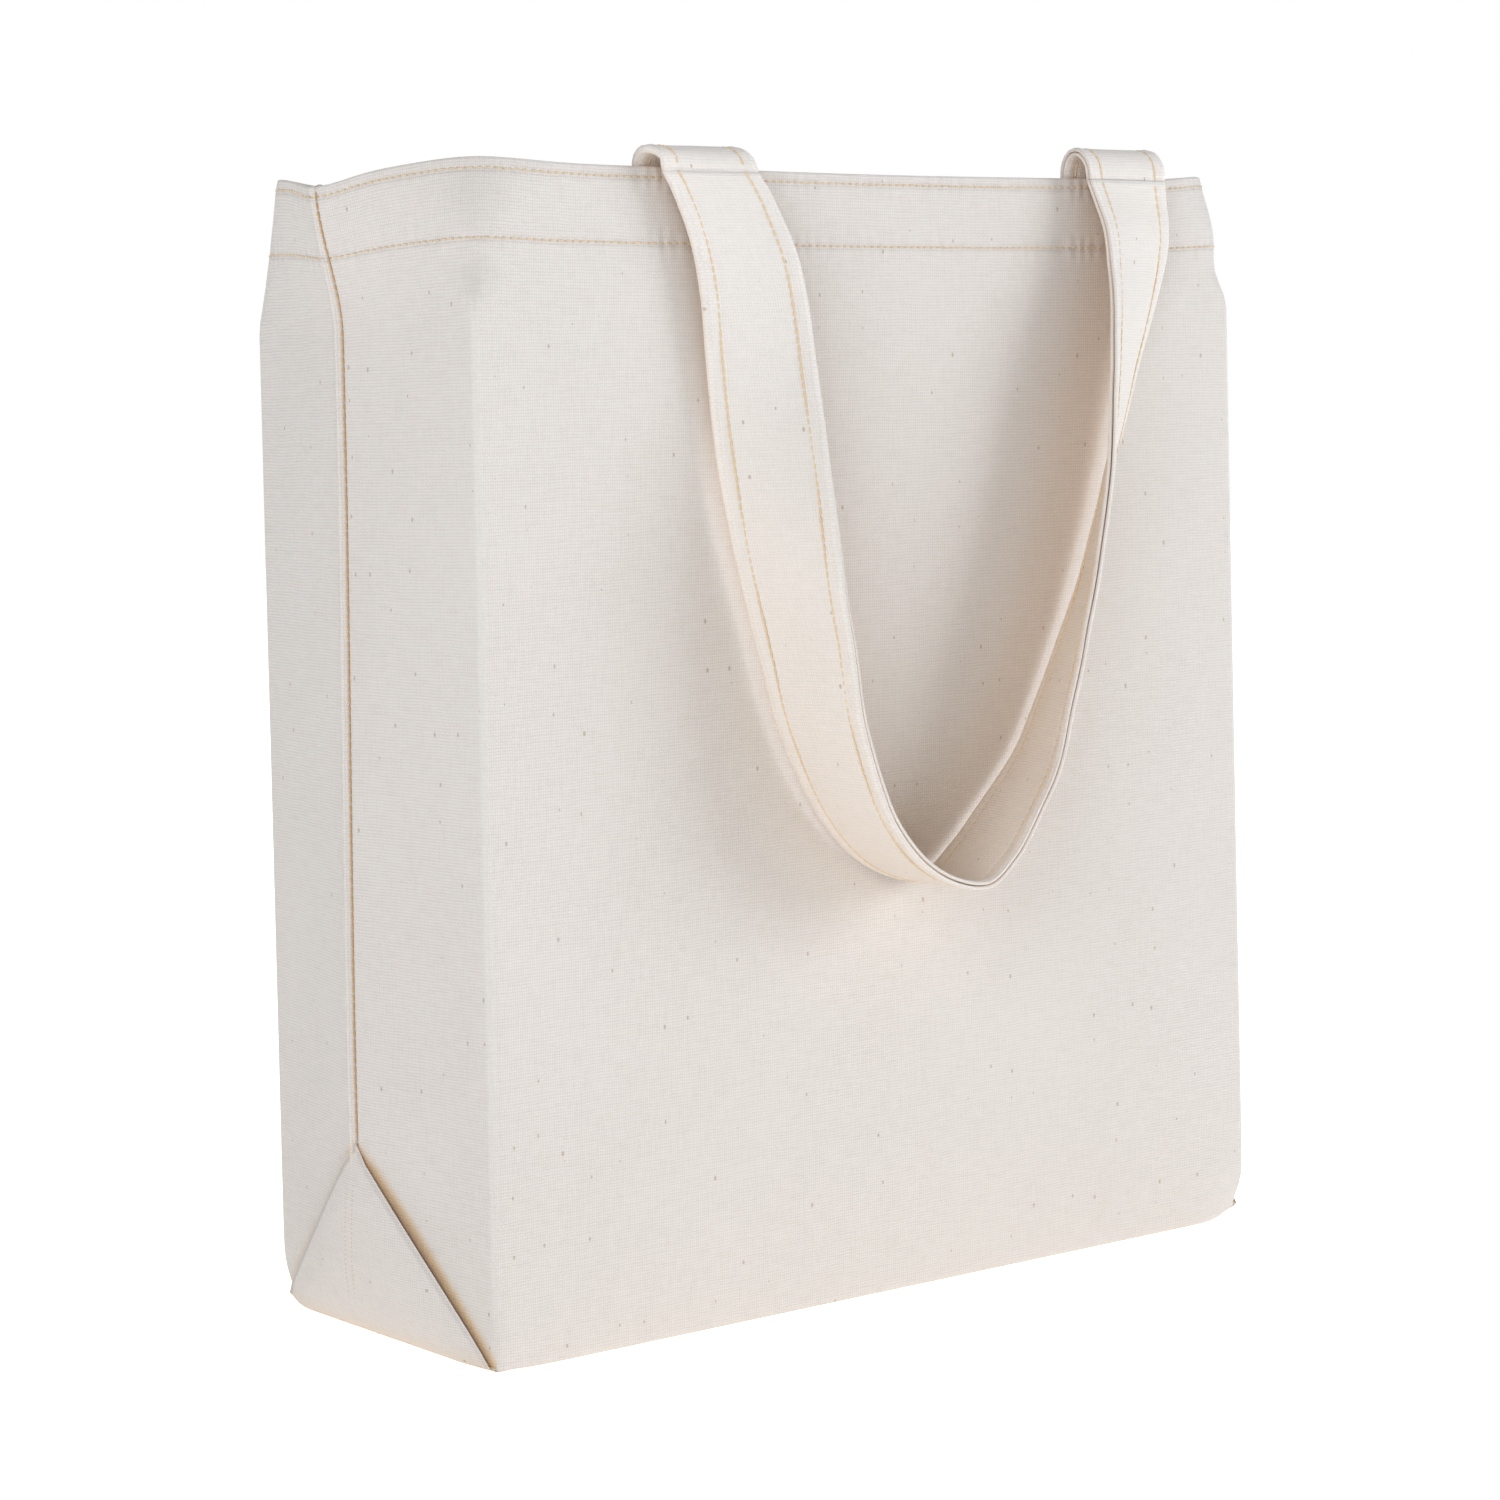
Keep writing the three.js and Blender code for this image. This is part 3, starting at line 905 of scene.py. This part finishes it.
def smoothPath(path, joints, step):  # an even walk along the curve, and where the joints fall on it
    points = [p for p, _ in path]
    points = [points[0] * 2 - points[1]] + points + [points[-1] * 2 - points[-2]]
    parts = 8  # straight bits between two stations
    fine = []
    for i in range(len(path) - 1):
        for k in range(parts):
            turn = path[i][1] + (path[i + 1][1] - path[i][1]) * k / parts
            fine.append((curvePoint(points, i, k / parts), turn))
    fine.append(path[-1])
    lengths = [0]
    for (p, _), (q, _) in zip(fine, fine[1:]):
        lengths.append(lengths[-1] + (q - p).length)
    total, walk, at = lengths[-1], [], 0
    count = round(total / step)
    for i in range(count + 1):
        goal = total * i / count
        while at < len(lengths) - 2 and lengths[at + 1] < goal:
            at += 1
        t = (goal - lengths[at]) / (lengths[at + 1] - lengths[at])
        (p, m), (q, n) = fine[at], fine[at + 1]
        walk.append((p.lerp(q, t), m + (n - m) * t, goal))
    return walk, [round(lengths[joint * parts] / total * count) for joint in joints]


def frames(walk):  # place, across and face directions, tangent and distance
    out = []
    for i, (place, turn, distance) in enumerate(walk):
        tangent = (walk[min(i + 1, len(walk) - 1)][0] - walk[max(i - 1, 0)][0]).normalized()
        side = Vector((cos(radians(turn)), -sin(radians(turn)), 0))
        out.append((place, side, tangent.cross(side).normalized(), tangent, distance))
    return out


def strapSection(w):  # the folded strap: w runs 0 to 1 over its four layers, raw edge to raw edge
    half = strap["width"] / 2
    outer, inner = strap["layers"]
    quarter = w * 4
    face = 1 if quarter < 2 else -1
    q = quarter if quarter < 2 else 4 - quarter  # 0 raw edge, 1 folded edge, 2 spine
    edge, raw = strap["foldedEdge"], strap["rawEdge"]
    if q < 1:
        across = -half + raw + (2 * half - raw - edge) * q
        lift = inner
    else:
        across = half - edge - (2 * half - 2 * edge) * (q - 1)
        lift = outer
    if abs(q - 1) < 0.04:  # round the folded edge
        t = (q - 0.96) / 0.08
        across = half - edge + (edge - 0.0001) * sin(pi * t)
        lift = (inner + outer) / 2 + 0.0001 - (outer - inner) / 2 * cos(pi * t)
    if q > 1.96:  # round the spine
        t = (q - 1.96) / 0.04
        across = -half + edge - edge * sin(pi / 2 * t)
        lift = outer * cos(pi / 2 * t)
    if q > 1:
        row = half - strap["rowInset"]
        lift -= 0.0003 * bump(abs(across) - row, 0.0009)
        lift += 0.00028 * bump(abs(across) - half + 0.0026, 0.0016)
        lift -= 0.00012 * (1 - ease(row - 0.004, row - 0.001, abs(across)))
    return across, lift * face


def makeStrapPiece(name, walks, material, seed):
    folds = stops([0, 0.9, 0.96, 1.04, 1.10, 1.2, 1.8, 1.9, 1.96, 2.0], 0.09)
    folds += [0.973, 0.987, 1.0, 1.013, 1.027, 1.97, 1.98, 1.99]  # round both edges
    folds += [1.12, 1.145, 1.17, 1.855, 1.88]  # and beside the rows of thread
    folds = sorted(set(round(x, 5) for x in folds))
    folds = [x / 4 for x in folds] + [1 - x / 4 for x in reversed(folds[:-1])]
    whole = bmesh.new()
    whole.loops.layers.uv.new("cloth")
    for walk in walks:
        bm = bmesh.new()
        columns, rows = len(folds) - 1, len(walk) - 1
        bmesh.ops.create_grid(bm, x_segments=columns, y_segments=rows, size=0.5)
        cloth = bm.loops.layers.uv.new("cloth")
        spots = {}
        for vert in bm.verts:
            w = folds[round((vert.co.x + 0.5) * columns)]
            place, side, face, tangent, distance = walk[round((vert.co.y + 0.5) * rows)]
            across, lift = strapSection(w)
            at = Vector((across, distance, seed))
            loose = ease(0, 0.02, distance - walk[0][4]) * ease(0, 0.02, walk[-1][4] - distance)
            lift += 0.0005 * loose * ripple(at, 0.022, seed)
            across += 0.0003 * loose * ripple(Vector((0, distance, seed)), 0.02, seed + 4)
            spots[vert.index] = (w * 4 * strap["width"], distance)
            vert.co = place + side * across + face * lift
        for f in bm.faces:
            for loop in f.loops:
                loop[cloth].uv = spots[loop.vert.index]
        part = bpy.data.meshes.new("part")
        bm.to_mesh(part)
        bm.free()
        whole.from_mesh(part)
        bpy.data.meshes.remove(part)
    piece = finishPiece(whole, name, material)
    thicken(piece, strap["cloth"], 0)
    return piece


strapWalks = {}
for end in ("front", "back"):
    body, sign = f"{end}_handle", 1 if end == "front" else -1
    walk, (start, stop) = smoothPath(*wholePath(strap["archHeights"][end]), strap["step"])
    turnRound = Matrix.Rotation(0 if end == "front" else pi, 3, "Z")
    whole = [tuple(turnRound @ x if isinstance(x, Vector) else x for x in f) for f in frames(walk)]
    loop, arches = whole[start : stop + 1], [whole[: start + 1], whole[stop:]]
    strapWalks[end] = (loop, arches)
    hanging = makeStrapPiece(f"{end}Strap", [loop], strapLitCanvas, 1 if end == "front" else 2)
    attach(hanging, body)
    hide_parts(f"{end}_handle_loop")
    ends = makeStrapPiece(f"{end}StrapEnds", arches, strapLitCanvas, 3)
    kinds = ("rim_bend", "sewn_end")
    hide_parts(*[f"{end}_handle_{side}_{what}" for side in ("left", "right") for what in kinds])
    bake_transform(ends)
print("straps folded and hung")

# ---- thread ----

sewing = {
    "pitch": 0.0031,
    "sunk": 0.00028,  # how deep the strap's stitches sit in it
    "proud": 0.0001,  # how far the hem's stand out
    "hem": {"length": 0.0026, "radius": 0.00026, "wander": 0.0006, "jog": 0.00026},
    "seam": {"length": 0.0033, "radius": 0.00036, "wander": 0.0002, "jog": 0.00008},
    "strap": {"length": 0.0033, "radius": 0.00044, "wander": 0.0006, "jog": 0.0002},
}


def stitchShape():
    bm = bmesh.new()
    bmesh.ops.create_uvsphere(bm, u_segments=6, v_segments=4, radius=1, calc_uvs=True)
    mesh = bpy.data.meshes.new("stitch")
    bm.to_mesh(mesh)
    bm.free()
    return mesh


oneStitch = stitchShape()


def sewRow(bm, line, seed, kind):
    # line: (place, outward) pairs close together; a stitch lies along it at every pitch
    lengths = [0]
    for (p, _), (q, _) in zip(line, line[1:]):
        lengths.append(lengths[-1] + (q - p).length)
    at = 0
    for i in range(int(lengths[-1] / sewing["pitch"])):
        goal = (i + 0.5) * sewing["pitch"]
        while at < len(lengths) - 2 and lengths[at + 1] < goal:
            at += 1
        t = (goal - lengths[at]) / (lengths[at + 1] - lengths[at])
        (p, outP), (q, outQ) = line[at], line[at + 1]
        place = p.lerp(q, t)
        along = (q - p).normalized()
        outward = outP.lerp(outQ, t)
        outward = (outward - along * outward.dot(along)).normalized()
        across = outward.cross(along)
        wander = kind["jog"] * noise.noise(Vector((i * 0.63, seed, 0)))
        wander += kind["wander"] * noise.noise(Vector((i * 0.07, seed, 8)))
        length = kind["length"] * (1 - 0.3 * abs(noise.noise(Vector((i * 0.77, seed, 2)))))
        tip = 0.1 * noise.noise(Vector((i * 0.91, seed, 4)))
        along = (along + across * tip).normalized()
        across = outward.cross(along)
        size = Matrix.Diagonal((kind["radius"], kind["radius"] * 1.2, length / 2, 1))
        turn = Matrix((outward, across, along)).transposed().to_4x4()
        move = Matrix.Translation(place + across * wander) @ turn @ size
        oneStitch.transform(move)
        bm.from_mesh(oneStitch)
        oneStitch.transform(move.inverted())


def makeThread(name, lines, kind, body=None):
    bm = bmesh.new()
    for seed, line in enumerate(lines):
        sewRow(bm, line, seed, sewing[kind])
    piece = finishPiece(bm, name, threadFinish)
    if body:
        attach(piece, body)
    return piece


def wallLine(z, depth, inside):  # right round the bag at a height
    line, count = [], 196
    top = halfWidth + halfDepth
    for front in (-1, 1):
        for i in range(count + 1):
            u = -front * (-top + 2 * top * i / count)
            point = wallPoint(u, z, depth(u, front), front)
            point += drape(point, u, front * (halfDepth + z))
            near = wallPoint(u, z, depth(u, front) + 0.001, front)
            near += drape(near, u, front * (halfDepth + z))
            outward = (point - near) * (-1 if inside else 1)
            line.append((point, outward.normalized()))
    line.append(line[0])
    return line


def outsideDepth(u, front):
    return -sewing["proud"]


def insideDepth(u, front):
    for side in (-1, 1):
        leg = -front * (strap["offset"] + side * strap["legSpacing"] / 2)
        if abs(u - leg) < strap["width"] / 2 + 0.001:
            return strap["hemDepth"] + strap["sewnGap"] + strap["thickness"] + sewing["proud"]
    return facingInset(0.5 * (hemEdge + rim)) + sewing["proud"]


for name, row in zip(("upperHemThread", "lowerHemThread"), bag["rows"]):
    lines = [wallLine(rim - row, outsideDepth, False), wallLine(rim - row, insideDepth, True)]
    piece = makeThread(name, lines, "hem", "root")
    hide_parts(name.replace("HemThread", "_hem_thread"))


def seamLine(side):
    line, count = [], 119
    for i in range(count + 1):
        z = halfDepth + 0.002 + (rim - halfDepth - 0.004) * i / count
        u = side * (halfWidth + halfDepth - bag["seamRow"])
        point = wallPoint(u, z, -0.0003, -1)
        line.append((point, Vector((side, 0, 0))))
    return line


for side, label in ((-1, "left"), (1, "right")):
    piece = makeThread(f"{label}SeamThread", [seamLine(side)], "seam", "root")
    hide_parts(f"{label}_seam_thread")


def strapLines(walk):
    lines = []
    across = strap["width"] / 2 - strap["rowInset"]
    lift = strap["thickness"] / 2 - sewing["sunk"]
    for face in (1, -1):
        for side in (-1, 1):
            lines.append([(p + s * side * across + f * face * lift, f * face) for p, s, f, _, _ in walk])
    return lines


for end in ("front", "back"):
    loop, arches = strapWalks[end]
    sign = 1 if end == "front" else -1
    hanging = makeThread(f"{end}StrapThread", strapLines(loop), "strap", f"{end}_handle")
    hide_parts(f"{end}_handle_outer_stitch_row", f"{end}_handle_inner_stitch_row")
    ends = makeThread(f"{end}StrapEndThread", strapLines(arches[0]) + strapLines(arches[1]), "strap")
    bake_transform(ends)
print("rows of stitching laid")

# ---- floor and light ----

studio = {
    "world": (1.0, 0.985, 0.965, 1),
    "worldStrength": 0.24,
    "keyPlace": (2.75, -2.0, 1.0),
    "keySize": 1.7,
    "keyColour": (0.97, 0.985, 1.0),
    "keyPower": 61,
    "fillPlace": (-2.0, -1.2, 1.2),
    "fillSize": 1.6,
    "fillColour": (1.0, 1.0, 1.0),
    "fillPower": 26,
    "backPlace": (0.9, 2.4, 1.7),
    "backSize": 2.0,
    "backColour": (1.0, 0.98, 0.96),
    "backPower": 26,
    "floorGlow": 0.52,
}


def makeFloor():
    bm = bmesh.new()
    bmesh.ops.create_grid(bm, x_segments=1, y_segments=1, size=6)
    material = bpy.data.materials.new("floor")
    material.use_nodes = True
    shader = material.node_tree.nodes["Principled BSDF"]
    shader.inputs["Base Color"].default_value = (0.9, 0.9, 0.9, 1)
    shader.inputs["Roughness"].default_value = 0.9
    shader.inputs["Specular IOR Level"].default_value = 0.1
    shader.inputs["Emission Color"].default_value = (1, 1, 1, 1)
    # the camera sees a white sweep, and the bag gets less light from it
    seen = addNode(material.node_tree, "ShaderNodeLightPath").outputs["Is Camera Ray"]
    glow = ramp(material.node_tree, seen, 0.0, 1.0, studio["floorGlow"], 1.0)
    feed(material.node_tree, shader.inputs["Emission Strength"], glow)
    finishPiece(bm, "floor", material)


def makeAreaLight(name):
    place = studio[name + "Place"]
    data = bpy.data.lights.new(name, "AREA")
    data.size = studio[name + "Size"]
    data.color = studio[name + "Colour"]
    data.energy = studio[name + "Power"]
    lamp = bpy.data.objects.new(name, data)
    bpy.context.scene.collection.objects.link(lamp)
    lamp.location = place
    lamp.rotation_euler = (Vector((0, 0, 0.2)) - Vector(place)).to_track_quat("-Z", "Y").to_euler()


def makeWorld():
    world = bpy.data.worlds.new("studio")
    bpy.context.scene.world = world
    world.use_nodes = True
    tree = world.node_tree
    ambient = tree.nodes["Background"]
    ambient.inputs["Color"].default_value = studio["world"]
    ambient.inputs["Strength"].default_value = studio["worldStrength"]
    seen = addNode(tree, "ShaderNodeBackground")
    seen.inputs["Color"].default_value = (1, 1, 1, 1)
    seen.inputs["Strength"].default_value = 1.0
    pick = addNode(tree, "ShaderNodeMixShader")
    feed(tree, pick.inputs[0], addNode(tree, "ShaderNodeLightPath").outputs["Is Camera Ray"])
    feed(tree, pick.inputs[1], ambient.outputs[0])
    feed(tree, pick.inputs[2], seen.outputs[0])
    feed(tree, tree.nodes["World Output"].inputs[0], pick.outputs[0])


makeFloor()
makeAreaLight("key")
makeAreaLight("fill")
makeAreaLight("back")
makeWorld()
bpy.context.scene.view_settings.view_transform = "Standard"
print("floor and light set")
